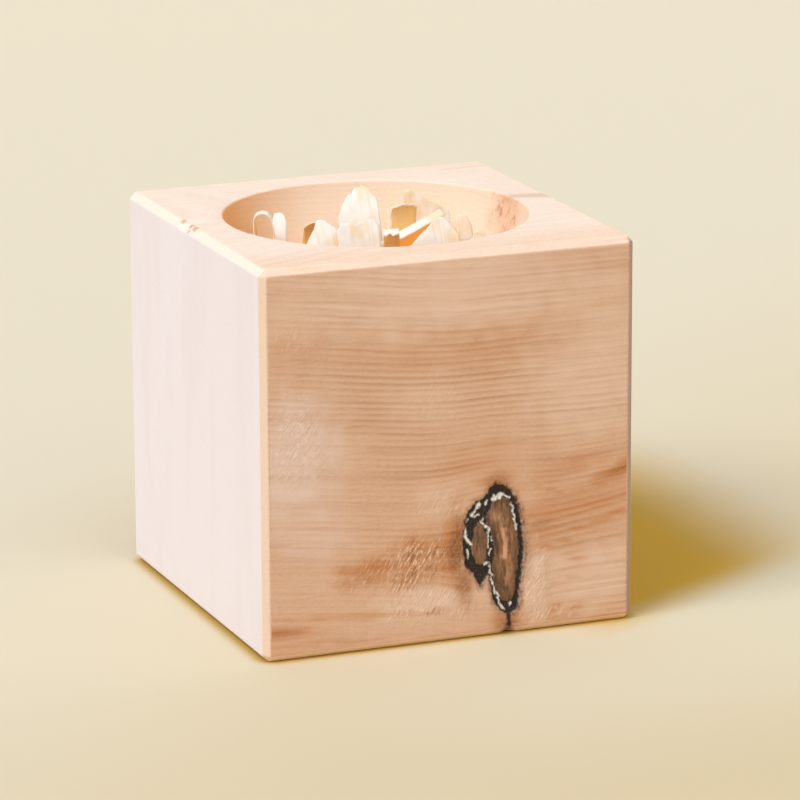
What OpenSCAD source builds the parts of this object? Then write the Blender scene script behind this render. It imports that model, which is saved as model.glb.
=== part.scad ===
// A solid wooden cube with a round bowl in its top, and a loose heap of wood shavings in the bowl.
// The origin is the middle of the underside, Z is up and the face with the knot looks along -Y.

/* [Cube] */
// Edge of the cube
cube_side = 100; // [92:1:110]
// Flat taken off every edge
edge_ease = 1.8; // [1.2:0.1:2.4]

/* [Bowl] */
// Width of the bowl at its rim
bowl_d = 78; // [74:1:84]
// Depth of the bowl below the top face
bowl_depth = 36; // [34:1:39]
// Break around the rim
rim_ease = 0.6; // [0.4:0.1:0.9]

/* [Knot] */
// Height of the larger lobe
main_lobe_h = 34.6; // [30:0.2:38]
// Reach of the larger lobe to the left of the line between its tips
main_lobe_left = 4.2; // [3.6:0.1:4.8]
// Reach of the larger lobe to the right of that line
main_lobe_right = 5.8; // [5:0.1:6.6]
// Height of the smaller lobe
side_lobe_h = 23.4; // [20:0.2:26]
// Reach of the smaller lobe to the left of the line between its tips
side_lobe_left = 5.8; // [5:0.1:6.6]
// Reach of the smaller lobe to the right of that line
side_lobe_right = 1.6; // [1.4:0.1:2]
// Width of the dark ring around a lobe
ring_w = 1.1; // [0.9:0.1:1.3]
// Depth of that ring below the face
ring_depth = 0.8; // [0.4:0.1:1.2]

/* [Wear] */
// Length of the chip in the top left edge
chip_l = 7; // [5:0.5:9]
// Depth of that chip
chip_depth = 0.7; // [0.4:0.1:1]
// Length of the nick in the bottom front edge
nick_l = 3.4; // [2.6:0.2:4.4]
// Depth of that nick
nick_depth = 0.6; // [0.4:0.1:0.9]

/* [Shavings] */
// Thickness of a shaving
shaving_t = 0.5; // [0.4:0.05:0.6]
// Usual length of a flat shaving as a share of the bowl's width
shaving_length_share = 0.205; // [0.19:0.005:0.215]
// Usual width of a flat shaving as a share of the bowl's width
shaving_width_share = 0.141; // [0.129:0.004:0.145]
// Radius of a rolled curl as a share of the bowl's width
curl_radius_share = 0.064; // [0.06:0.001:0.068]
// Length of a rolled curl as a share of the bowl's width
curl_length_share = 0.308; // [0.278:0.005:0.328]
// Radius of the curls nearest the rim as a share of the bowl's width
rim_curl_radius_share = 0.0436; // [0.0396:0.001:0.0476]
// Length of the curls nearest the rim as a share of the bowl's width
rim_curl_length_share = 0.244; // [0.214:0.005:0.264]
// Radius of the long slanting roll as a share of the bowl's width
roll_radius_share = 0.0333; // [0.0293:0.001:0.0363]
// Radius of the thin upright roll as a share of the bowl's width
quill_radius_share = 0.0256; // [0.0216:0.001:0.0276]
// Radius of the bend in the narrow arch as a share of the bowl's width
arch_radius_share = 0.0269; // [0.0239:0.001:0.0299]

/* [Fit] */
// Clearance under every shaving
seat_gap = 0.1; // [0.05:0.05:0.2]
// How far a cut runs past the face that it cuts
cut_over = 1; // [0.5:0.5:2]

/* [Hidden] */
$fn = 96;
half_side = cube_side / 2;
bowl_r = bowl_d / 2;
// The shavings are cut to suit the bowl.
shaving_l = bowl_d * shaving_length_share;
shaving_w = bowl_d * shaving_width_share;
curl_r = bowl_d * curl_radius_share;
curl_l = bowl_d * curl_length_share;
rim_curl_r = bowl_d * rim_curl_radius_share;
rim_curl_l = bowl_d * rim_curl_length_share;
roll_r = bowl_d * roll_radius_share;
quill_r = bowl_d * quill_radius_share;
arch_r = bowl_d * arch_radius_share;
// The bowl is part of a ball through its rim and its lowest point.
ball_r = (bowl_r * bowl_r + bowl_depth * bowl_depth) / (2 * bowl_depth);
ball_z = cube_side - bowl_depth + ball_r;
seat_r = ball_r - seat_gap;

// Knot: middle of each lobe as shares of the cube's edge, and its lean in degrees.
main_lobe_shares = [0.14, 0.228];
main_lobe_lean = 4.8;
side_lobe_shares = [0.091, 0.254];
side_lobe_lean = -5.4;

// Wear: places along an edge as shares of the cube's edge.
chip_place_share = 0.07;
nick_place_share = 0.16;

// Rolled curls: share of the whole turn left open, and how the layers lie.
curl_open_share = 0.16;
curl_turn = 360 - 360 * curl_open_share;
curl_spin = 118;
tail_r_share = 0.68;
tail_turn = 120;
bottom_turn = 96;
middle_turn = 6;
middle_length_shares = [0.84, 1, 0.84];
curl_pitch = 2 * curl_r + seat_gap;

// Crease where one bend of a shaving meets the next, as a share of its thickness.
crease_r_share = 0.6;
crease_r = shaving_t * crease_r_share;
crease_over_share = 0.3;
crease_over = shaving_t * crease_over_share;

// Lengths of the two loose rolls as shares of the usual length.
quill_length_share = 0.8;
roll_length_share = 1.36;
quill_length = shaving_l * quill_length_share;
roll_length = shaving_l * roll_length_share;

// How far below the ball's middle a curl of a given length lies when its ends touch the bowl.
function seat_drop(l) = sqrt(seat_r * seat_r - l * l / 4) - curl_r;

bottom_drop = sqrt(pow(seat_drop(curl_l), 2) - pow(curl_pitch / 2, 2));
bottom_z = ball_z - bottom_drop;
middle_z = bottom_z + curl_pitch;
bed_z = middle_z + curl_r + seat_gap;

// Curls around the bowl's wall: first bearing, step and length shares.
wall_bearing = -10;
wall_step = 60;
wall_length_shares = [0.75, 0.7, 0.76, 0.74, 0.68, 0.72];

function wall_len(i) = curl_l * wall_length_shares[i];
function wall_out(i) = sqrt(pow(seat_drop(wall_len(i)), 2) - pow(ball_z - middle_z, 2));
function wall_at(i) = wall_bearing + wall_step * i;

// Curls nearest the rim: each lies between the bowl and the outer side of a curl of the wall.
rim_over = [4, 5];
wall_drop = ball_z - middle_z;
rim_away = sqrt(seat_r * seat_r - rim_curl_l * rim_curl_l / 4) - rim_curl_r;
rim_apart = curl_r + rim_curl_r + seat_gap;
function wall_away(i) = norm([wall_out(i), wall_drop]);
function rim_lean(i) = atan2(wall_out(i), wall_drop)
    + acos((pow(wall_away(i), 2) + pow(rim_away, 2) - pow(rim_apart, 2)) / (2 * wall_away(i) * rim_away));

// Points on the top lines of the curls, by a share of half their length.
function turned(p, a) = [p[0] * cos(a) - p[1] * sin(a), p[0] * sin(a) + p[1] * cos(a), bed_z];
function on_middle(i, share) = turned(
    [(i - 1) * curl_pitch, share * curl_l * middle_length_shares[i] / 2],
    middle_turn
);
function on_wall(i, share) = turned([wall_out(i), share * wall_len(i) / 2], wall_at(i));

// Where the path of a bent strip stands after a bend: along, up and heading.
function past(at, bend) = let(
    l = bend[0] * shaving_l,
    a = bend[1],
    chord = a == 0 ? l : l * sin(a / 2) / (a / 2 * PI / 180)
) [at[0] + chord * cos(at[2] + a / 2), at[1] + chord * sin(at[2] + a / 2), at[2] + a];
function strip_end(at, bends, i = 0) =
    i == len(bends) ? at : strip_end(past(at, bends[i]), bends, i + 1);

// Square with its corners cut off.
module eased_square() {
    far = half_side;
    near = half_side - edge_ease;
    polygon([
        [far, -near], [far, near], [near, far], [-near, far],
        [-far, near], [-far, -near], [-near, -far], [near, -far]
    ]);
}

module eased_cube() {
    translate([0, 0, half_side])
        intersection() {
            linear_extrude(height = cube_side, center = true) eased_square();
            rotate([90, 0, 0]) linear_extrude(height = cube_side, center = true) eased_square();
            rotate([0, 90, 0]) linear_extrude(height = cube_side, center = true) eased_square();
        }
}

module bowl() {
    translate([0, 0, ball_z]) sphere(r = ball_r);
    translate([0, 0, cube_side - rim_ease])
        cylinder(h = 2 * rim_ease, r1 = bowl_r - rim_ease, r2 = bowl_r + 3 * rim_ease);
}

// Disc whose edge passes through both tips of a lobe and reaches out to one side.
module lobe_side(h, reach, inset) {
    r = (h * h / 4 + reach * reach) / (2 * reach);
    translate([reach - r, 0]) circle(r = r - inset);
}

module lobe(h, left, right, inset) {
    intersection() {
        lobe_side(h, right, inset);
        mirror([1, 0]) lobe_side(h, left, inset);
    }
}

module lobe_ring(h, left, right, shares, lean) {
    translate([shares[0] * cube_side, shares[1] * cube_side])
        rotate(lean)
            difference() {
                lobe(h, left, right, 0);
                lobe(h, left, right, ring_w);
            }
}

module knot_rings() {
    translate([0, ring_depth - half_side, 0])
        rotate([90, 0, 0])
            linear_extrude(height = ring_depth + cut_over)
                union() {
                    lobe_ring(main_lobe_h, main_lobe_left, main_lobe_right, main_lobe_shares, main_lobe_lean);
                    lobe_ring(side_lobe_h, side_lobe_left, side_lobe_right, side_lobe_shares, side_lobe_lean);
                }
}

// Ball that takes a scoop of a given length and depth out of a face through the origin.
module scoop(l, depth) {
    r = (l * l / 4 + depth * depth) / (2 * depth);
    translate([0, 0, r - depth]) sphere(r = r);
}

module chip() {
    translate([edge_ease / 2 - half_side, chip_place_share * cube_side, cube_side - edge_ease / 2])
        rotate([0, -45, 0])
            scoop(chip_l, chip_depth);
}

module nick() {
    translate([nick_place_share * cube_side, edge_ease / 2 - half_side, edge_ease / 2])
        rotate([135, 0, 0])
            scoop(nick_l, nick_depth);
}

module block() {
    color("burlywood")
        difference() {
            eased_cube();
            bowl();
            knot_rings();
            chip();
            nick();
        }
}

// One bend of a strip, from the origin along X, with its thickness on the left and its width along Z.
module bend_of_strip(l, a, width) {
    if (a == 0) {
        translate([0, 0, -width / 2]) cube([l, shaving_t, width]);
    } else {
        r = l / (abs(a) * PI / 180);
        inner = a > 0 ? r - shaving_t : r;
        translate([0, a > 0 ? r : -r, 0])
            rotate(a > 0 ? -90 : 90 + a)
                rotate_extrude(angle = abs(a))
                    translate([inner, -width / 2])
                        square([shaving_t, width]);
    }
}

// Rod along the line where two bends join, a little longer than the strip is wide.
module crease(width) {
    translate([0, shaving_t / 2, 0]) cylinder(r = crease_r, h = width + 2 * crease_over, center = true);
}

// Bends in a row. Each is a share of the usual length and a turn in degrees.
module bent_strip(at, bends, width, i = 0) {
    if (i < len(bends)) {
        translate([at[0], at[1], 0])
            rotate(at[2]) {
                bend_of_strip(bends[i][0] * shaving_l, bends[i][1], width);
                if (i > 0) crease(width);
            }
        bent_strip(past(at, bends[i]), bends, width, i + 1);
    }
}

// Strip that stands on its lower edge at a point, heads one way and rises. Its outline is given in
// shares of the straight line from foot to tip and of the width, and it may stand to one side.
// With no outline the strip keeps its full width.
module shaving(foot, heading, lift, bends, width_share, side_share, outline_shares) {
    width = shaving_w * width_share;
    tip = strip_end([0, 0, lift], bends);
    reach = norm([tip[0], tip[1]]);
    translate(foot)
        rotate(heading)
            translate([0, side_share * width, 0])
                rotate([90, 0, 0])
                    if (len(outline_shares) == 0) {
                        bent_strip([0, 0, lift], bends, width);
                    } else {
                        intersection() {
                            bent_strip([0, 0, lift], bends, width);
                            rotate(atan2(tip[1], tip[0]))
                                rotate([90, 0, 0])
                                    linear_extrude(height = 2 * shaving_l, center = true)
                                        polygon([for (p = outline_shares) [p[0] * reach, -p[1] * width]]);
                        }
                    }
}

// Curl lying on the origin with its length along Y, closed below and above.
module curl(r, l, turn, spin) {
    outer = r * turn * PI / 180;
    translate([0, 0, r])
        rotate([90, 0, 0])
            rotate(spin)
                translate([0, -r, 0])
                    bend_of_strip(outer, turn, l);
}

// The same with a tail that winds on inside it.
module tailed_curl(r, l) {
    tail_r = r * tail_r_share;
    curl(r, l, curl_turn, curl_spin);
    translate([0, 0, r])
        rotate([90, 0, 0])
            rotate(curl_spin + curl_turn)
                translate([0, -r, 0]) {
                    bend_of_strip(tail_r * tail_turn * PI / 180, tail_turn, l);
                    crease(l);
                }
}

module bottom_curl(i) {
    color("wheat")
        rotate(bottom_turn)
            translate([(i - 0.5) * curl_pitch, 0, bottom_z - curl_r])
                mirror([i, 0, 0])
                    curl(curl_r, curl_l, curl_turn, curl_spin);
}

module middle_curl(i) {
    color("wheat")
        rotate(middle_turn)
            translate([(i - 1) * curl_pitch, 0, middle_z - curl_r])
                tailed_curl(curl_r, curl_l * middle_length_shares[i]);
}

module wall_curl(i) {
    color("wheat")
        rotate(wall_at(i))
            translate([wall_out(i), 0, middle_z - curl_r])
                mirror([1, 0, 0])
                    curl(curl_r, wall_len(i), curl_turn, curl_spin);
}

module rim_curl(i) {
    color("wheat")
        rotate(wall_at(rim_over[i]))
            translate([
                rim_away * sin(rim_lean(rim_over[i])),
                0,
                ball_z - rim_away * cos(rim_lean(rim_over[i])) - rim_curl_r
            ])
                mirror([1, 0, 0])
                    curl(rim_curl_r, rim_curl_l, curl_turn, curl_spin);
}

module arch_shaving() {
    bend_share = arch_r * PI / shaving_l;
    color("moccasin")
        shaving(
            on_wall(3, -0.05), 158, 80,
            [[0.8, 0], [bend_share, -180], [0.5, 0]],
            0.36, 0,
            []
        );
}

module leaf_shaving() {
    color("moccasin")
        shaving(
            on_wall(3, -0.82), 74, 84,
            [[0.85, -44]],
            0.34, -0.4,
            [[-0.2, -0.6], [0.75, -0.6], [1.2, 0], [1.2, 0.2], [0.7, 0.6], [-0.2, 0.6]]
        );
}

module tent_shaving() {
    color("seashell")
        shaving(
            on_middle(0, 0.2), 84, 68,
            [[0.86, -26]],
            0.95, 0.3,
            [[-0.2, -0.6], [0.62, -0.6], [1.04, -0.12], [0.98, 0.02], [0.22, 0.6], [-0.2, 0.6]]
        );
}

module broad_shaving() {
    color("seashell")
        shaving(
            on_middle(1, 0.86), 84, 82,
            [[0.56, -16], [0.64, -22]],
            1.02, -0.12,
            [[-0.2, -0.6], [0.66, -0.6], [1.06, -0.24], [0.98, -0.04], [0.82, 0.28], [0.46, 0.6], [-0.2, 0.6]]
        );
}

module quill_shaving() {
    color("wheat")
        translate(on_middle(2, 0.96))
            rotate(124)
                rotate([0, -84, 0])
                    rotate(-90)
                        translate([0, quill_length / 2, 0])
                            curl(quill_r, quill_length, curl_turn, curl_spin);
}

module amber_shaving() {
    color("sandybrown")
        shaving(
            on_middle(2, 0.5), 92, 90,
            [[0.64, 0], [0.32, 62]],
            0.66, -0.02,
            []
        );
}

module slanting_roll() {
    color("sandybrown")
        translate(on_middle(1, -0.04))
            rotate([0, -23, 2])
                rotate(-90)
                    translate([0, roll_length / 2, 0])
                        curl(roll_r, roll_length, curl_turn, curl_spin);
}

module front_shaving() {
    color("seashell")
        shaving(
            on_middle(2, -0.95), 90, 80,
            [[0.8, -16]],
            1.5, -0.06,
            [[-0.2, -0.6], [0.42, -0.6], [1.03, -0.27], [0.98, -0.14], [0.2, 0.6], [-0.2, 0.6]]
        );
}

module centre_shaving() {
    color("seashell")
        shaving(
            on_middle(0, -0.6), 92, 78,
            [[0.84, -16]],
            1.08, -0.24,
            [[-0.2, -0.6], [0.75, -0.6], [1.2, -0.25], [0.9, 0], [1.1, 0.25], [0.7, 0.6], [-0.2, 0.6]]
        );
}

module small_curl() {
    color("moccasin")
        shaving(
            on_middle(1, -0.95), -112, 88,
            [[0.7, -24], [0.34, -140]],
            0.38, -0.3,
            []
        );
}

module right_chip() {
    color("moccasin")
        shaving(
            on_wall(0, 0), 96, 86,
            [[0.75, -24]],
            0.42, 0.26,
            [[-0.2, -0.6], [0.6, -0.6], [1.2, -0.1], [1.2, 0.2], [0.6, 0.6], [-0.2, 0.6]]
        );
}

module low_chip() {
    color("moccasin")
        shaving(
            on_wall(0, -0.6), 66, 72,
            [[0.55, 12]],
            0.54, -0.2,
            [[-0.2, -0.6], [0.4, -0.6], [1.2, -0.06], [1.2, 0.1], [0.4, 0.6], [-0.2, 0.6]]
        );
}

module back_flake() {
    color("wheat")
        shaving(
            on_wall(2, -0.05), 262, 66,
            [[0.62, -24]],
            0.62, 0,
            [[-0.2, -0.6], [0.7, -0.6], [1.2, -0.1], [1.2, 0.2], [0.55, 0.6], [-0.2, 0.6]]
        );
}

module low_flake() {
    color("wheat")
        shaving(
            on_wall(2, 0.5), 200, 8,
            [[0.66, 14]],
            0.7, 0,
            [[-0.2, -0.6], [0.7, -0.6], [1.2, -0.15], [1.2, 0.25], [0.55, 0.6], [-0.2, 0.6]]
        );
}

module far_flake() {
    color("wheat")
        shaving(
            on_wall(2, -0.6), 34, 8,
            [[0.5, 14]],
            0.64, 0,
            [[-0.2, -0.6], [0.7, -0.6], [1.2, 0], [1.2, 0.2], [0.8, 0.6], [-0.2, 0.6]]
        );
}

module side_flake() {
    color("wheat")
        shaving(
            on_wall(1, 0.2), 128, 12,
            [[0.72, 8]],
            0.75, 0,
            [[-0.2, -0.6], [0.6, -0.6], [1.2, 0], [1.2, 0.3], [0.8, 0.6], [-0.2, 0.6]]
        );
}

module right_flake() {
    color("wheat")
        shaving(
            on_wall(1, -0.75), 92, 84,
            [[0.96, -12]],
            1.2, 0,
            [[-0.2, -0.6], [0.5, -0.6], [1.02, 0.42], [0.9, 0.6], [-0.2, 0.6]]
        );
}

module near_flake() {
    color("wheat")
        shaving(
            on_wall(5, 0.3), 82, 12,
            [[0.36, 22], [0.34, -18]],
            0.85, 0,
            [[-0.2, -0.6], [0.8, -0.6], [1.2, -0.2], [1.2, 0.1], [0.7, 0.6], [-0.2, 0.6]]
        );
}

module lower_flake() {
    color("wheat")
        shaving(
            on_wall(4, 0.9), -6, 10,
            [[0.55, 12]],
            0.66, 0.25,
            [[-0.2, -0.6], [0.6, -0.6], [1.2, -0.1], [1.2, 0.3], [0.9, 0.6], [-0.2, 0.6]]
        );
}

module left_flake() {
    color("wheat")
        shaving(
            on_wall(4, 0), 58, 14,
            [[0.32, 18], [0.32, 14]],
            0.78, 0,
            [[-0.2, -0.6], [0.8, -0.6], [1.2, 0], [1.2, 0.2], [0.6, 0.6], [-0.2, 0.6]]
        );
}

module bridge_flake() {
    color("wheat")
        shaving(
            on_wall(3, 0.7), -20, 10,
            [[0.7, 15]],
            0.66, -0.25,
            [[-0.2, -0.6], [0.7, -0.6], [1.2, -0.3], [1.2, 0], [0.8, 0.6], [-0.2, 0.6]]
        );
}

block();
for (i = [0:1]) bottom_curl(i);
for (i = [0:2]) middle_curl(i);
for (i = [0:5]) wall_curl(i);
for (i = [0:1]) rim_curl(i);
arch_shaving();
leaf_shaving();
tent_shaving();
broad_shaving();
quill_shaving();
amber_shaving();
slanting_roll();
front_shaving();
centre_shaving();
small_curl();
right_chip();
low_chip();
back_flake();
low_flake();
far_flake();
side_flake();
right_flake();
near_flake();
lower_flake();
left_flake();
bridge_flake();
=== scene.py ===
import math
import bmesh
import bpy
from mathutils import Matrix, Vector, noise


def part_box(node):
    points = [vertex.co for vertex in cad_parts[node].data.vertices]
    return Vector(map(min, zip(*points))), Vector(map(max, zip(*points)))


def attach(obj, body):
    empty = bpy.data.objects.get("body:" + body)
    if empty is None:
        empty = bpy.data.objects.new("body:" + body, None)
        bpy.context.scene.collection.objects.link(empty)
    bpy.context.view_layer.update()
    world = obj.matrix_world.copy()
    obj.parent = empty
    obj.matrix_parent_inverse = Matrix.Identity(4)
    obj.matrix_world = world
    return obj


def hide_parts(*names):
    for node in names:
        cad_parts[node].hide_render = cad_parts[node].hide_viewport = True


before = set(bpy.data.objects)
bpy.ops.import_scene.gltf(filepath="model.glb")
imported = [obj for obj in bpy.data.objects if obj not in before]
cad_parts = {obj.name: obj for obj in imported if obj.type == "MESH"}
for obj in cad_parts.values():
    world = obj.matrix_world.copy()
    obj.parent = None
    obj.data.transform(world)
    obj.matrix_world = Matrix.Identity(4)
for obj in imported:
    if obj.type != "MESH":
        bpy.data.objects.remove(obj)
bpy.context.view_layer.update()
mm = 0.001
print("frame loaded:", len(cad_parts), "nodes")


def srgb(red, green, blue):
    def lin(c):
        c /= 255.0
        return c / 12.92 if c <= 0.04045 else ((c + 0.055) / 1.055) ** 2.4
    return (lin(red), lin(green), lin(blue), 1.0)


def smooth(low, high, value):
    t = max(0.0, min(1.0, (value - low) / (high - low)))
    return t * t * (3 - 2 * t)


def wobble(x, y, z):
    return noise.noise(Vector((x, y, z)))


def onlyVerts(geom):
    return [g for g in geom if isinstance(g, bmesh.types.BMVert)]


def onlyEdges(geom):
    return [g for g in geom if isinstance(g, bmesh.types.BMEdge)]


def addPiece(name, bm, material, nodeName):
    mesh = bpy.data.meshes.new(name)
    bm.to_mesh(mesh)
    bm.free()
    piece = bpy.data.objects.new(name, mesh)
    bpy.context.scene.collection.objects.link(piece)
    mesh.materials.append(material)
    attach(piece, "root")
    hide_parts(nodeName)
    return piece


class Shades:
    # short hand for building one material's nodes
    def __init__(self, name):
        self.material = bpy.data.materials.new(name)
        self.material.use_nodes = True
        self.tree = self.material.node_tree
        self.tree.nodes.clear()
        self.out = self.tree.nodes.new("ShaderNodeOutputMaterial")

    def put(self, socket, value):
        if isinstance(value, bpy.types.NodeSocket):
            self.tree.links.new(value, socket)
        else:
            socket.default_value = value

    def node(self, kind, inputs=(), **settings):
        made = self.tree.nodes.new(kind)
        for key, value in settings.items():
            setattr(made, key, value)
        for key, value in dict(inputs).items():
            self.put(made.inputs[key], value)
        return made

    def math(self, operation, a, b=0.0, c=0.0):
        return self.node("ShaderNodeMath", {0: a, 1: b, 2: c}, operation=operation).outputs[0]

    def times(self, value, *others):
        for other in others:
            value = self.math("MULTIPLY", value, other)
        return value

    def mix(self, factor, a, b, how="MIX"):
        made = self.node("ShaderNodeMix", data_type="RGBA", blend_type=how)
        self.put(made.inputs[0], factor)
        self.put(made.inputs[6], a)
        self.put(made.inputs[7], b)
        return made.outputs[2]

    def ramp(self, value, low, high, toLow=0.0, toHigh=1.0):
        made = self.node("ShaderNodeMapRange", interpolation_type="SMOOTHSTEP")
        for index, given in enumerate((value, low, high, toLow, toHigh)):
            self.put(made.inputs[index], given)
        return made.outputs[0]

    def painted(self, name):
        return self.node("ShaderNodeAttribute", attribute_name=name).outputs["Fac"]

    def grainNoise(self, vector, scale, turn=0.0, detail=3.0, rough=0.5, shift=(0, 0, 0)):
        # noise drawn out along an axis, turned about Y first where a turn in degrees is given
        if turn:
            about = (0, math.radians(turn), 0)
            vector = self.node("ShaderNodeMapping", {"Vector": vector, "Rotation": about}).outputs[0]
        place = self.node("ShaderNodeMapping", {"Vector": vector, "Scale": scale, "Location": shift})
        made = self.node("ShaderNodeTexNoise", {"Vector": place.outputs[0], "Scale": 1.0, "Detail": detail,
                                                "Roughness": rough})
        return made.outputs["Fac"]


# camera as in the picture: turned, tilted and a touch rolled
cameraSpec = {"azimuth": -21.72, "elevation": 14.75, "distance": 1.2545, "lens": 218.73, "roll": -0.26,
              "target": (0.00636, 0.0, 0.04988)}


def makeCamera(spec):
    azimuth, elevation, roll = (math.radians(spec[k]) for k in ("azimuth", "elevation", "roll"))
    back = Vector((math.sin(azimuth) * math.cos(elevation), -math.cos(azimuth) * math.cos(elevation),
                   math.sin(elevation)))
    right = Vector((math.cos(azimuth), math.sin(azimuth), 0.0))
    up = back.cross(right)
    across = right * math.cos(roll) + up * math.sin(roll)
    above = up * math.cos(roll) - right * math.sin(roll)
    eye = Vector(spec["target"]) + back * spec["distance"]
    data = bpy.data.cameras.new("camera")
    data.lens = spec["lens"]
    data.sensor_width = 36.0
    data.sensor_fit = "HORIZONTAL"
    data.clip_end = 50.0
    camera = bpy.data.objects.new("camera", data)
    turned = Matrix((across, above, back)).transposed().to_4x4()
    camera.matrix_world = Matrix.Translation(eye) @ turned
    bpy.context.scene.collection.objects.link(camera)
    bpy.context.scene.camera = camera


makeCamera(cameraSpec)
print("camera set")


# seamless cream sweep: flat in front, rising in one long curve behind
sweepSpec = {
    "width": 6.0, "front": -1.6, "back": 1.5, "rise": 0.9, "height": 2.2, "steps": 24,
    "near": srgb(217, 201, 168), "far": srgb(226, 218, 198), "depth": (-0.2, 0.2), "depthLean": 0.6,
    # painted light: a paler patch before the cube; painted shadow: a warm line where it stands
    "lift": srgb(222, 212, 186), "liftFront": (-0.17, -0.085), "liftBack": (0.02, -0.05),
    "liftLeft": (-0.07, 0.01),
    "contact": srgb(198, 166, 84), "contactShadeReach": 0.004, "contactShadeSoft": (0.3, 0.95),
    # painted shadow: golden laid where the cube's shade falls: how far right it goes, and the slanting
    # front edge from its foot
    "shade": srgb(209, 168, 66), "shadeLeft": (0.03, 0.05), "shadeRight": (0.134, 0.085),
    "shadeBack": (0.13, 0.07),
    "shadeFoot": (0.052, -0.046), "shadeSlope": 0.56, "shadeSoft": (-0.013, 0.009),
}


def makeSweep(spec):
    bm = bmesh.new()
    left = bm.verts.new((-spec["width"] / 2, spec["front"], 0.0))
    right = bm.verts.new((spec["width"] / 2, spec["front"], 0.0))
    line = bm.edges.new((left, right))
    flat = bmesh.ops.extrude_edge_only(bm, edges=[line])["geom"]
    bmesh.ops.translate(bm, verts=onlyVerts(flat), vec=(0, spec["back"] - spec["front"], 0))
    edge = [e for e in onlyEdges(flat) if all(v in flat for v in e.verts)]
    curve = bmesh.ops.spin(bm, geom=edge + list(edge[0].verts), cent=(0, spec["back"], spec["rise"]),
                           axis=(1, 0, 0), angle=math.pi / 2, steps=spec["steps"])["geom_last"]
    wall = bmesh.ops.extrude_edge_only(bm, edges=onlyEdges(curve))["geom"]
    bmesh.ops.translate(bm, verts=onlyVerts(wall), vec=(0, 0, spec["height"]))
    bmesh.ops.recalc_face_normals(bm, faces=bm.faces[:])
    if sum(f.normal.z for f in bm.faces) < 0:
        bmesh.ops.reverse_faces(bm, faces=bm.faces[:])
    for face in bm.faces:
        face.smooth = True
    mesh = bpy.data.meshes.new("sweep")
    bm.to_mesh(mesh)
    bm.free()
    floor = bpy.data.objects.new("sweep", mesh)
    bpy.context.scene.collection.objects.link(floor)

    s = Shades("creamPaper")
    place = s.node("ShaderNodeTexCoord").outputs["Object"]
    x, y = s.node("ShaderNodeSeparateXYZ", {0: place}).outputs[:2]
    depth = s.math("SUBTRACT", y, s.times(x, spec["depthLean"]))
    paper = s.mix(s.ramp(depth, *spec["depth"]), spec["near"], spec["far"])
    # painted light: a paler patch laid on the floor before the cube
    lift = s.times(s.ramp(y, *spec["liftFront"]), s.ramp(y, *spec["liftBack"]),
                   s.ramp(x, *spec["liftLeft"]))
    paper = s.mix(lift, paper, spec["lift"])
    # painted shadow: a warm line laid on the floor where the cube stands, drawn from occlusion
    reach = spec["contactShadeReach"]
    hidden = s.node("ShaderNodeAmbientOcclusion", {"Distance": reach}, samples=8).outputs["AO"]
    paper = s.mix(s.ramp(hidden, *spec["contactShadeSoft"]), spec["contact"], paper)
    # painted shadow: a golden wedge laid on the floor where the cube's shadow falls
    footX, footY = spec["shadeFoot"]
    behind = s.math("MULTIPLY_ADD", x, -spec["shadeSlope"], spec["shadeSlope"] * footX - footY)
    shade = s.ramp(s.math("ADD", y, behind), *spec["shadeSoft"])
    shade = s.times(shade, s.ramp(x, *spec["shadeRight"]), s.ramp(x, *spec["shadeLeft"]),
                    s.ramp(y, *spec["shadeBack"]))
    paper = s.mix(shade, paper, spec["shade"])
    skin = s.node("ShaderNodeBsdfPrincipled", {"Base Color": paper, "Roughness": 0.85,
                                               "Specular IOR Level": 0.1})
    s.tree.links.new(skin.outputs[0], s.out.inputs[0])
    mesh.materials.append(s.material)


makeSweep(sweepSpec)


# one broad soft light from the left, a much softer one from the front, even light around
lightSpec = {
    "key": {"towards": (-0.62, -0.24, 0.75), "spread": 32.0, "strength": 1.82},
    "fill": {"towards": (0.12, -0.86, 0.5), "spread": 110.0, "strength": 0.96},
    "around": {"tint": (1.0, 1.0, 1.0, 1.0), "strength": 0.455},
}


def makeLights(spec):
    for name in ("key", "fill"):
        data = bpy.data.lights.new(name, "SUN")
        data.energy = spec[name]["strength"]
        data.angle = math.radians(spec[name]["spread"])
        light = bpy.data.objects.new(name, data)
        light.rotation_euler = Vector(spec[name]["towards"]).to_track_quat("Z", "Y").to_euler()
        light.location = spec[name]["towards"]
        bpy.context.scene.collection.objects.link(light)
    world = bpy.data.worlds.new("studio")
    bpy.context.scene.world = world
    world.use_nodes = True
    sky = world.node_tree.nodes["Background"]
    sky.inputs[0].default_value = spec["around"]["tint"]
    sky.inputs[1].default_value = spec["around"]["strength"]


makeLights(lightSpec)
bpy.context.scene.view_settings.view_transform = "Standard"
print("floor and lights set")


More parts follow.
